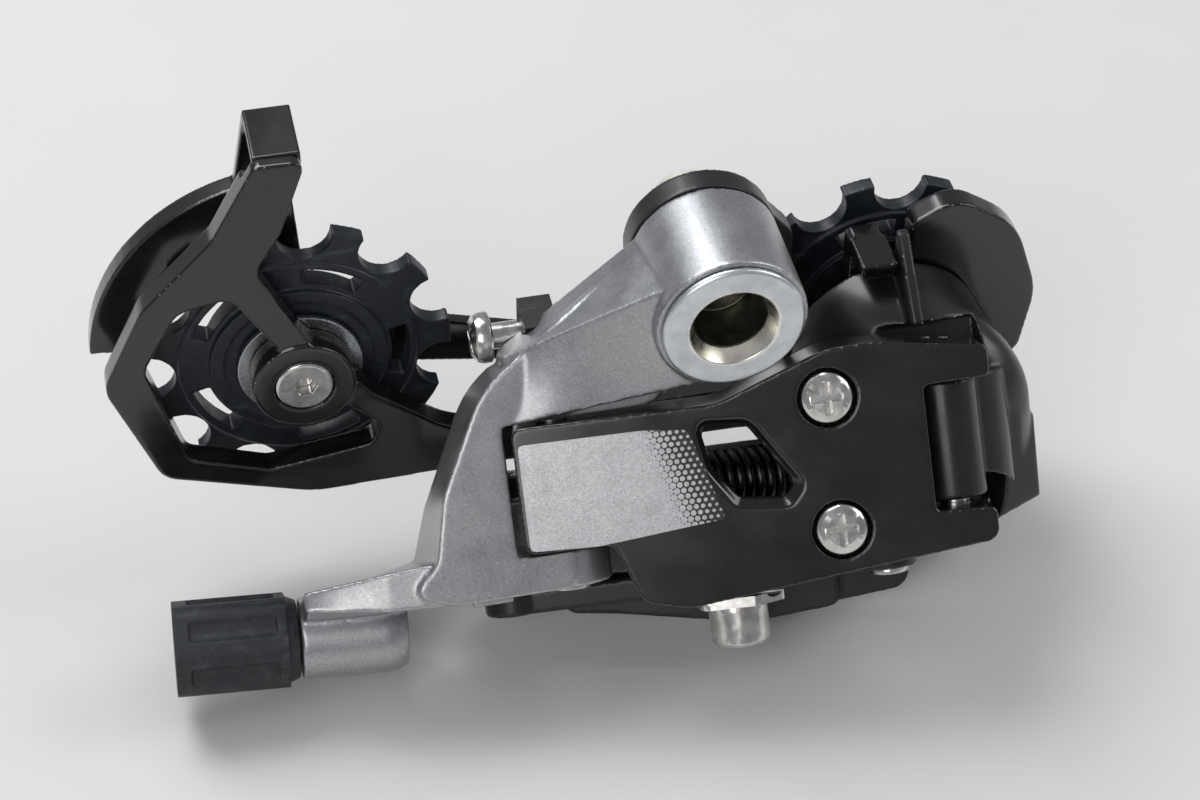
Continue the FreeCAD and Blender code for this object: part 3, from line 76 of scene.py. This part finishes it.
# ---------------------------------------------------------------- material building blocks
class Finish:
    """A node-based material whose textures follow the part's own coordinates, in metres."""

    def __init__(self, name, **constants):
        self.material = bpy.data.materials.new(name)
        self.material.use_nodes = True
        self.tree = self.material.node_tree
        self.shader = self.tree.nodes["Principled BSDF"]
        self.place = self.tree.nodes.new("ShaderNodeTexCoord").outputs["Object"]
        for socket, value in constants.items():
            self.shader.inputs[socket.replace("_", " ")].default_value = value

    def add(self, kind, **settings):
        """A new node, with its settings given by name."""
        made = self.tree.nodes.new(kind)
        for name, value in settings.items():
            setattr(made, name, value)
        return made

    def feed(self, socket, value):
        """Links an output to a socket, or sets the socket's value."""
        if isinstance(value, bpy.types.NodeSocket):
            self.tree.links.new(value, socket)
        else:
            socket.default_value = value

    def noise(self, per_metre, detail=3.0, stretch=None, roughness=0.5):
        """Noise with that many cells in a metre, drawn out along an axis where stretch is given."""
        place = self.place
        if stretch:
            scaled = self.add("ShaderNodeMapping")
            self.feed(scaled.inputs["Vector"], place)
            scaled.inputs["Scale"].default_value = stretch
            place = scaled.outputs["Vector"]
        made = self.add("ShaderNodeTexNoise")
        self.feed(made.inputs["Vector"], place)
        made.inputs["Scale"].default_value = per_metre
        made.inputs["Detail"].default_value = detail
        made.inputs["Roughness"].default_value = roughness
        return made.outputs["Fac"]

    def cells(self, per_metre):
        """A random number for each cell of a Voronoi pattern."""
        made = self.add("ShaderNodeTexVoronoi")
        self.feed(made.inputs["Vector"], self.place)
        made.inputs["Scale"].default_value = per_metre
        split = self.add("ShaderNodeSeparateColor")
        self.feed(split.inputs["Color"], made.outputs["Color"])
        return split.outputs["Red"]

    def math(self, operation, first, second=0.0):
        """One sum of two values."""
        made = self.add("ShaderNodeMath", operation=operation)
        for socket, value in zip(made.inputs, (first, second)):
            self.feed(socket, value)
        return made.outputs["Value"]

    def remap(self, value, low, high, to_low=0.0, to_high=1.0):
        """A value stretched from one range to another, and held inside it."""
        made = self.add("ShaderNodeMapRange", clamp=True)
        for socket, number in zip(made.inputs, (value, low, high, to_low, to_high)):
            self.feed(socket, number)
        return made.outputs["Result"]

    def mix(self, share, first, second):
        """A colour between two others."""
        made = self.add("ShaderNodeMix", data_type="RGBA")
        self.feed(made.inputs["Factor"], share)
        for socket, colour in ((made.inputs[6], first), (made.inputs[7], second)):
            self.feed(socket, colour if isinstance(colour, bpy.types.NodeSocket) else (*colour, 1.0))
        return made.outputs[2]

    def attribute(self, name, output="Fac"):
        """What the mesh itself carries under that name, and nought where it carries nothing."""
        made = self.add("ShaderNodeAttribute", attribute_name=name)
        return made.outputs[output]

    def colour(self, value):
        self.feed(self.shader.inputs["Base Color"], value)

    def roughness(self, value):
        self.feed(self.shader.inputs["Roughness"], value)

    def metal(self, value):
        self.feed(self.shader.inputs["Metallic"], value)

    def bump(self, height, depth_mm, strength=1.0):
        """Surface relief of that depth."""
        made = self.add("ShaderNodeBump")
        made.inputs["Strength"].default_value = strength
        made.inputs["Distance"].default_value = depth_mm * MM
        self.feed(made.inputs["Height"], height)
        if self.shader.inputs["Normal"].is_linked:
            self.feed(made.inputs["Normal"], self.shader.inputs["Normal"].links[0].from_socket)
        self.feed(self.shader.inputs["Normal"], made.outputs["Normal"])


def silver_paint():
    """Metallic satin paint with fine flakes and faint clouding."""
    finish = Finish("silver_paint", Coat_Weight=0.25, Coat_Roughness=0.22)
    cloud = finish.remap(finish.noise(60, 4), 0.35, 0.65)
    base = finish.mix(cloud, PAINT_DARK, PAINT_LIGHT)
    flake = finish.remap(finish.cells(FLAKES_PER_METRE), 0.80, 1.0)
    base = finish.mix(finish.math("MULTIPLY", flake, 0.28), base, FLAKE_LIGHT)
    dark_flake = finish.remap(finish.cells(DARK_FLAKES_PER_METRE), 0.0, 0.16, 0.35, 0.0)
    base = finish.mix(dark_flake, base, FLAKE_DARK)
    worn = finish.math("MULTIPLY", finish.attribute("wear"), finish.remap(finish.noise(700, 2), 0.50, 0.66))
    finish.colour(finish.mix(finish.math("MULTIPLY", worn, 0.5), base, PAINT_WORN))
    finish.metal(0.9)
    finish.roughness(finish.remap(finish.noise(240, 3), 0.3, 0.7, 0.34, 0.44))
    finish.bump(finish.cells(FLAKES_PER_METRE), 0.006, 0.5)
    finish.bump(finish.noise(900, 2), 0.008, 0.5)
    return finish.material


def black_coat(name, base, sheen_low, sheen_high, nick, coat):
    """Black paint: soft grain, faint smears in the gloss, and pale nicks along worn edges."""
    finish = Finish(name, Coat_Weight=coat, Coat_Roughness=0.12)
    dust = finish.remap(finish.noise(900, 5, roughness=0.7), 0.58, 0.78, 0.0, 0.05)
    body = finish.mix(dust, base, DUST)
    speck = finish.remap(finish.noise(1500, 2), 0.63, 0.68)
    worn = finish.math("MULTIPLY", finish.remap(finish.attribute("wear"), 0.45, 0.85), speck)
    finish.colour(finish.mix(finish.math("MULTIPLY", worn, nick), body, NICK))
    smear = finish.noise(110, 4, stretch=(1.0, 0.35, 1.6))
    finish.roughness(finish.remap(smear, 0.32, 0.68, sheen_low, sheen_high))
    finish.bump(finish.noise(2600, 2), 0.005, 0.6)
    finish.bump(finish.noise(150, 2), 0.03, 0.25)
    return finish.material


def bare_metal(name, dark, light, rough_low, rough_high, lines=0.25):
    """Bare metal with fine tool lines, and stains that change its gloss."""
    finish = Finish(name)
    stain = finish.remap(finish.noise(420, 4), 0.35, 0.7)
    finish.colour(finish.mix(stain, light, dark))
    finish.metal(1.0)
    finish.roughness(finish.remap(finish.noise(650, 3), 0.3, 0.7, rough_low, rough_high))
    finish.bump(finish.noise(3400, 2, stretch=(1.0, 0.12, 1.0)), 0.004, lines)
    return finish.material


def moulded(name, base, pale, rough_low, rough_high, grain_mm, scuff=0.15):
    """Moulded plastic or rubber: fine grain, with pale scuffs and dust."""
    finish = Finish(name, Specular_IOR_Level=0.45)
    dust = finish.remap(finish.noise(330, 6, roughness=0.72), 0.52, 0.76, 0.0, scuff)
    scratch = finish.remap(finish.noise(800, 2, stretch=(0.12, 1.0, 1.0)), 0.66, 0.72, 0.0, scuff)
    finish.colour(finish.mix(finish.math("MAXIMUM", dust, scratch), base, pale))
    finish.roughness(finish.remap(finish.noise(500, 4), 0.3, 0.7, rough_low, rough_high))
    finish.bump(finish.noise(2200, 3), grain_mm, 0.7)
    return finish.material


def brushed_cap():
    """Pressed steel cover, brushed, with a mottled gloss."""
    finish = Finish("cap_steel")
    finish.colour(finish.mix(finish.noise(300, 4), (0.30, 0.31, 0.33), (0.56, 0.57, 0.58)))
    finish.metal(1.0)
    finish.roughness(finish.remap(finish.noise(2600, 2), 0.3, 0.7, 0.20, 0.36))
    finish.bump(finish.noise(3000, 2, stretch=(1.0, 1.0, 0.1)), 0.004, 0.4)
    return finish.material


PANEL_DOT_MM = 1.0
PANEL_FADE_MM = 8.5             # over this length the dots grow until they run together
PANEL_DOT_RADII = (0.20, 0.62)  # in mm, at the slanted end and where they have run together
PANEL_DOT_BLUR = 0.03


def panel_paint():
    """Silver lacquer that breaks into dots on black towards its slanted end."""
    finish = Finish("panel_paint", Coat_Weight=0.3, Coat_Roughness=0.2)
    split = finish.add("ShaderNodeSeparateXYZ")
    finish.feed(split.inputs["Vector"], finish.attribute("panel_place", "Vector"))
    across, along, to_edge = split.outputs

    def lattice(shift):
        """Distance to the nearest dot of one square lattice of the two that make a hexagonal one."""
        step = PANEL_DOT_MM
        row = step * math.sqrt(3)
        offsets = []
        for value, pitch in ((across, step), (along, row)):
            moved = finish.math("DIVIDE", value, pitch)
            moved = finish.math("ADD", moved, shift)
            whole = finish.math("ROUND", moved)
            offsets.append(finish.math("MULTIPLY", finish.math("SUBTRACT", moved, whole), pitch))
        return finish.math("SQRT", finish.math("ADD", finish.math("POWER", offsets[0], 2.0),
                                               finish.math("POWER", offsets[1], 2.0)))

    distance = finish.math("MINIMUM", lattice(100.0), lattice(100.5))
    radius = finish.remap(to_edge, 0.0, PANEL_FADE_MM, *PANEL_DOT_RADII)
    dot = finish.remap(finish.math("SUBTRACT", radius, distance), -PANEL_DOT_BLUR, PANEL_DOT_BLUR)
    silver = finish.mix(finish.cells(FLAKES_PER_METRE), (0.40, 0.405, 0.42), (0.60, 0.605, 0.62))
    silver = finish.mix(finish.remap(finish.noise(300, 4), 0.55, 0.75, 0.0, 0.25), silver, (0.3, 0.3, 0.31))
    finish.colour(finish.mix(dot, PANEL_BLACK, silver))
    finish.metal(finish.math("MULTIPLY", dot, 0.7))
    finish.roughness(finish.remap(finish.noise(300, 3), 0.3, 0.7, 0.34, 0.44))
    return finish.material


FINISHES = {
    "ring_aluminium": bare_metal("ring_aluminium", (0.60, 0.62, 0.64), (0.74, 0.77, 0.79), 0.30, 0.42),
    "black_satin": black_coat("black_satin", (0.012, 0.012, 0.013), 0.26, 0.44, 0.5, 0.15),
    "steel": bare_metal("steel", (0.52, 0.50, 0.47), (0.80, 0.79, 0.77), 0.14, 0.30),
    "silver_paint": silver_paint(),
    "rubber": moulded("rubber", (0.018, 0.021, 0.025), (0.15, 0.16, 0.17), 0.48, 0.66, 0.02, 0.28),
    "bush_polymer": moulded("bush_polymer", (0.58, 0.55, 0.46), (0.75, 0.72, 0.62), 0.4, 0.55, 0.01),
    "black_polymer": moulded("black_polymer", (0.012, 0.012, 0.012), (0.12, 0.12, 0.12), 0.4, 0.6, 0.015),
    "black_alloy": black_coat("black_alloy", (0.03, 0.03, 0.032), 0.3, 0.45, 0.6, 0.0),
    "black_gloss": black_coat("black_gloss", (0.006, 0.006, 0.007), 0.13, 0.28, 1.0, 0.5),
    "spring_steel": bare_metal("spring_steel", (0.03, 0.03, 0.03), (0.10, 0.10, 0.105), 0.25, 0.42),
    "cap_steel": brushed_cap(),
    "pulley_polymer": moulded("pulley_polymer", (0.009, 0.012, 0.017), (0.13, 0.15, 0.17), 0.34, 0.52, 0.012,
                              0.22),
}
BOLT_TIP = moulded("bolt_tip", (0.66, 0.64, 0.58), (0.82, 0.80, 0.74), 0.30, 0.42, 0.004, 0.4)

BOLT_CHAMFER = bare_metal("bolt_chamfer", (0.80, 0.77, 0.69), (0.90, 0.88, 0.82), 0.22, 0.34)
# Painted shade: a dark metal for the faces inside the bolt's bore, standing in for the shade that falls in that
# recess.
PAINTED_BORE_SHADE = bare_metal("bolt_bore_painted_shade", (0.10, 0.10, 0.08), (0.24, 0.235, 0.19), 0.30, 0.45)


# ---------------------------------------------------------------- shaping helpers
def smooth_shading(mesh):
    mesh.polygons.foreach_set("use_smooth", np.ones(len(mesh.polygons), bool))


def evaluated(piece):
    """The piece's mesh with its modifiers worked in."""
    bpy.context.view_layer.update()
    return bpy.data.meshes.new_from_object(piece.evaluated_get(bpy.context.evaluated_depsgraph_get()))


def places(mesh):
    found = np.zeros(len(mesh.vertices) * 3, np.float32)
    mesh.vertices.foreach_get("co", found)
    return found.reshape(-1, 3)


def forged(node, voxel_mm, passes, wear_mm=0.10):
    """The node's shape with every edge rounded as a forging's or moulding's, in place of the CAD solid.

    The rounding of outward edges is kept as the attribute wear, which the paint reads.
    """
    mesh = frame["nodes"][node].data.copy()
    shape = bmesh.new()
    shape.from_mesh(mesh)
    bmesh.ops.remove_doubles(shape, verts=shape.verts, dist=0.002 * MM)
    shape.to_mesh(mesh)
    shape.free()
    piece = bpy.data.objects.new(node + "_shell", mesh)
    bpy.context.scene.collection.objects.link(piece)
    remesh = piece.modifiers.new("even", "REMESH")
    remesh.mode = "VOXEL"
    remesh.voxel_size = voxel_mm * MM
    sharp = evaluated(piece)
    piece.modifiers.clear()
    piece.data = sharp
    before = places(sharp)
    normals = np.zeros(len(sharp.vertices) * 3, np.float32)
    sharp.vertex_normals.foreach_get("vector", normals)
    rounding = piece.modifiers.new("round", "SMOOTH")
    rounding.factor = 0.5
    rounding.iterations = passes
    soft = evaluated(piece)
    piece.modifiers.clear()
    inward = -((places(soft) - before) * normals.reshape(-1, 3)).sum(1)
    wear = soft.attributes.new("wear", "FLOAT", "POINT")
    wear.data.foreach_set("value", np.clip(inward / (wear_mm * MM), 0.0, 1.0).astype(np.float32))
    piece.data = soft
    smooth_shading(soft)
    soft.materials.clear()
    soft.materials.append(FINISHES[SLOT_OF[node]])
    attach(piece, BODY_OF[node])
    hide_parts(node)
    return piece


def finished(node, edge_mm=0.0, material=None):
    """Gives a kept CAD node its material, and small rounded edges where a width is given."""
    piece = frame["nodes"][node]
    material = material or FINISHES[SLOT_OF[node]]
    if not piece.material_slots:
        piece.data.materials.append(material)
    for place in piece.material_slots:
        place.material = material
    if edge_mm:
        weld = piece.modifiers.new("weld", "WELD")
        weld.merge_threshold = 0.001 * MM
        flat = piece.modifiers.new("flat", "DECIMATE")
        flat.decimate_type = "DISSOLVE"
        flat.angle_limit = math.radians(0.5)
        edge = piece.modifiers.new("edge", "BEVEL")
        edge.width = edge_mm * MM
        edge.segments = 2
        edge.limit_method = "ANGLE"
        edge.angle_limit = math.radians(38)
        even = piece.modifiers.new("even", "WEIGHTED_NORMAL")
        even.keep_sharp = True
    return piece


SHELLS = {                      # node: (voxel mm, smoothing passes)
    "b_knuckle": (0.30, 9),
    "p_knuckle": (0.32, 8),
    "outer_link": (0.24, 7),
    "inner_link": (0.32, 5),
    "outer_cage_plate": (0.24, 8),
    "inner_cage_plate": (0.24, 6),
    "b_stop_washer": (0.20, 5),
    "adjuster_grip": (0.16, 5),
    "guide_pulley_wheel": (0.20, 4),
    "tension_pulley_wheel": (0.20, 4),
    "hanger_bolt": (0.15, 3),
}
EDGES = {                       # node: edge width in mm
    "cable_anchor_bolt": 0.25, "cable_clamp_washer": 0.2, "b_tension_screw": 0.12, "low_limit_screw": 0.12,
    "high_limit_screw": 0.12, "guide_pulley_bolt": 0.2, "tension_pulley_bolt": 0.2, "tension_cap_outer": 0.15,
    "tension_cap_inner": 0.15, "guide_cap_outer": 0.15, "guide_cap_inner": 0.15, "outer_pin_b": 0.15,
    "inner_pin_b": 0.15, "outer_pin_p": 0.15, "inner_pin_p": 0.15, "b_screw_nut": 0.3, "adjuster_stud": 0.15,
    "cage_axle": 0.2,
}


BOLT_BORE_RADIUS = 5.45         # in mm, just outside the bore's wall
BOLT_CHAMFER_RADIUS = 6.9
BOLT_BORE_FROM = -10.0          # the bore lies outboard of this y, and the chamfer of the next
BOLT_CHAMFER_FROM = -20.0


def paint_bolt(mesh):
    """The bolt's pale threaded end, the pale chamfer of its bore, and painted shade on the faces inside the bore.
    """
    for extra in (BOLT_TIP, BOLT_CHAMFER, PAINTED_BORE_SHADE):
        mesh.materials.append(extra)
    for face in mesh.polygons:
        radius = math.hypot(face.center.x, face.center.z) / MM
        depth = face.center.y / MM
        if depth > 0.0:
            face.material_index = 1
        # faces deep inside the bore take the painted shade
        elif depth < BOLT_BORE_FROM and radius < BOLT_BORE_RADIUS:
            face.material_index = 3
        elif depth < BOLT_CHAMFER_FROM and radius < BOLT_CHAMFER_RADIUS:
            face.material_index = 2


for name in frame["nodes"]:
    if name not in SHELLS:
        finished(name, EDGES.get(name, 0.0))
for name, (voxel, passes) in SHELLS.items():
    shell = forged(name, voxel, passes)
    if name == "hanger_bolt":
        paint_bolt(shell.data)


# ---------------------------------------------------------------- printed panel on the outer link
link_origin = Vector(JOINTS["shift"]["pos_m"])          # on the link's upper pin, 34 mm down it
link_pin = Vector(JOINTS["shift"]["axis"]).normalized()
link_out = Vector(JOINTS["low_limit_turn"]["axis"]).normalized()
link_along = link_pin.cross(link_out).normalized()
if link_along.x < 0:
    link_along = -link_along
LINK_ORIGIN_DEPTH = -34.0
LINK_FACE = 8.7                 # the link's front face, in its own frame
PANEL_ROOT = LINK_FACE - 0.15
PANEL_EDGE = LINK_FACE + 0.02
PANEL_TOP = LINK_FACE + 0.04
PANEL_CORNER = 0.7
PANEL_BEVEL = 0.05
PANEL_OUTLINE = ((-5.2, -26.9), (12.8, -26.9), (19.6, -27.6), (23.6, -41.3), (4.8, -43.0), (-5.2, -42.6))
PANEL_SLANT = (23.6 - 19.6) / (41.3 - 27.6)


def link_point(x, p, n):
    """A point of the outer link's own frame, in mm, as a point of the whole part."""
    return link_origin + (link_along * x + link_pin * (p - LINK_ORIGIN_DEPTH) + link_out * n) * MM


def link_panel():
    """The thin silver panel, with its corners rounded."""
    shape = bmesh.new()
    corners = [Vector(corner) for corner in PANEL_OUTLINE]
    flat = []
    for index, corner in enumerate(corners):
        before = corners[index - 1]
        after = corners[(index + 1) % len(corners)]
        first = corner + (before - corner).normalized() * PANEL_CORNER
        last = corner + (after - corner).normalized() * PANEL_CORNER
        flat += [first, (first + last) / 4 + corner / 2, last]
    layers = [[shape.verts.new(link_point(x, y, height)) for x, y in flat]
              for height in (PANEL_ROOT, PANEL_EDGE, PANEL_TOP)]
    middle = sum(flat, Vector((0, 0))) / len(flat)
    for vert, point in zip(layers[2], flat):
        nearer = point + (middle - point).normalized() * PANEL_BEVEL
        vert.co = link_point(nearer.x, nearer.y, PANEL_TOP)
    for low, high in zip(layers, layers[1:]):
        for index in range(len(flat)):
            after = (index + 1) % len(flat)
            shape.faces.new((low[index], low[after], high[after], high[index]))
    shape.faces.new(layers[2])
    shape.faces.new(layers[0][::-1])
    bmesh.ops.triangulate(shape, faces=shape.faces)
    bmesh.ops.recalc_face_normals(shape, faces=shape.faces)
    mesh = bpy.data.meshes.new("link_panel")
    shape.to_mesh(mesh)
    shape.free()
    place = mesh.attributes.new("panel_place", "FLOAT_VECTOR", "POINT")
    for vertex, item in zip(mesh.vertices, place.data):
        offset = (vertex.co - link_origin) / MM
        x = offset.dot(link_along)
        p = offset.dot(link_pin) + LINK_ORIGIN_DEPTH
        edge = PANEL_OUTLINE[2][0] + (PANEL_OUTLINE[2][1] - p) * PANEL_SLANT - x
        item.vector = (x, p, edge)
    mesh.materials.append(panel_paint())
    piece = bpy.data.objects.new("link_panel", mesh)
    bpy.context.scene.collection.objects.link(piece)
    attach(piece, "outer_link")
    return piece


link_panel()


# ---------------------------------------------------------------- floor, light and camera
low, high = (Vector(corner) for corner in cad_box)
centre = (low + high) / 2


FLOOR_HALF = 1.6
FLOOR_GAP = 0.0002
SKY_ON_PART = 0.27
SKY_SEEN = 0.85
CAMERA_PLACE = Vector((-82.6, -311.6, 262.0)) * MM
CAMERA_RIGHT = Vector((0.9771, -0.2130, 0.0))
CAMERA_FORWARD = Vector((0.1568, 0.7192, -0.6769))


def floor():
    """A pale matt sheet under the part, with a faint mottle."""
    finish = Finish("floor", Specular_IOR_Level=0.25)
    finish.colour(finish.mix(finish.noise(24, 4), (0.70, 0.695, 0.685), (0.74, 0.735, 0.725)))
    finish.roughness(0.6)
    mesh = bpy.data.meshes.new("floor")
    mesh.from_pydata([(centre.x + x * FLOOR_HALF, centre.y + y * FLOOR_HALF, low.z - FLOOR_GAP)
                      for x, y in ((-1, -1), (1, -1), (1, 1), (-1, 1))], [], [(0, 1, 2, 3)])
    mesh.materials.append(finish.material)
    sheet = bpy.data.objects.new("floor", mesh)
    bpy.context.scene.collection.objects.link(sheet)


def lamp(name, offset, size, watts, tint=(1.0, 1.0, 1.0)):
    """A square soft box at an offset from the part's centre, turned towards it."""
    data = bpy.data.lights.new(name, "AREA")
    data.shape = "SQUARE"
    data.size = size
    data.energy = watts
    data.color = tint
    thing = bpy.data.objects.new(name, data)
    thing.location = centre + Vector(offset)
    thing.rotation_euler = (-Vector(offset)).to_track_quat("-Z", "Y").to_euler()
    bpy.context.scene.collection.objects.link(thing)


def sky():
    """Even light from all round, and the pale background."""
    world = bpy.data.worlds.new("sky")
    world.use_nodes = True
    tree = world.node_tree
    back = tree.nodes["Background"]
    back.inputs["Color"].default_value = (0.93, 0.95, 1.0, 1.0)
    path = tree.nodes.new("ShaderNodeLightPath")
    strength = tree.nodes.new("ShaderNodeMapRange")
    strength.inputs["To Min"].default_value = SKY_ON_PART
    strength.inputs["To Max"].default_value = SKY_SEEN
    tree.links.new(path.outputs["Is Camera Ray"], strength.inputs["Value"])
    tree.links.new(strength.outputs["Result"], back.inputs["Strength"])
    bpy.context.scene.world = world


def camera():
    """The photograph's point of view."""
    data = bpy.data.cameras.new("camera")
    data.lens = 84
    data.sensor_width = 36
    data.clip_start = 0.01
    right = CAMERA_RIGHT.normalized()
    forward = CAMERA_FORWARD.normalized()
    up = right.cross(forward)
    thing = bpy.data.objects.new("camera", data)
    turn = Matrix((right, up, -forward)).transposed().to_4x4()
    thing.matrix_world = Matrix.Translation(CAMERA_PLACE) @ turn
    bpy.context.scene.collection.objects.link(thing)
    bpy.context.scene.camera = thing


floor()
lamp("window", (-0.20, 0.35, 0.62), 0.45, 4.0, (0.97, 0.985, 1.0))
lamp("side", (0.55, -0.05, 0.40), 0.35, 1.3)
lamp("front", (-0.30, -0.55, 0.45), 0.40, 1.5, (1.0, 0.99, 0.97))
sky()
camera()
bpy.context.scene.view_settings.view_transform = "Standard"
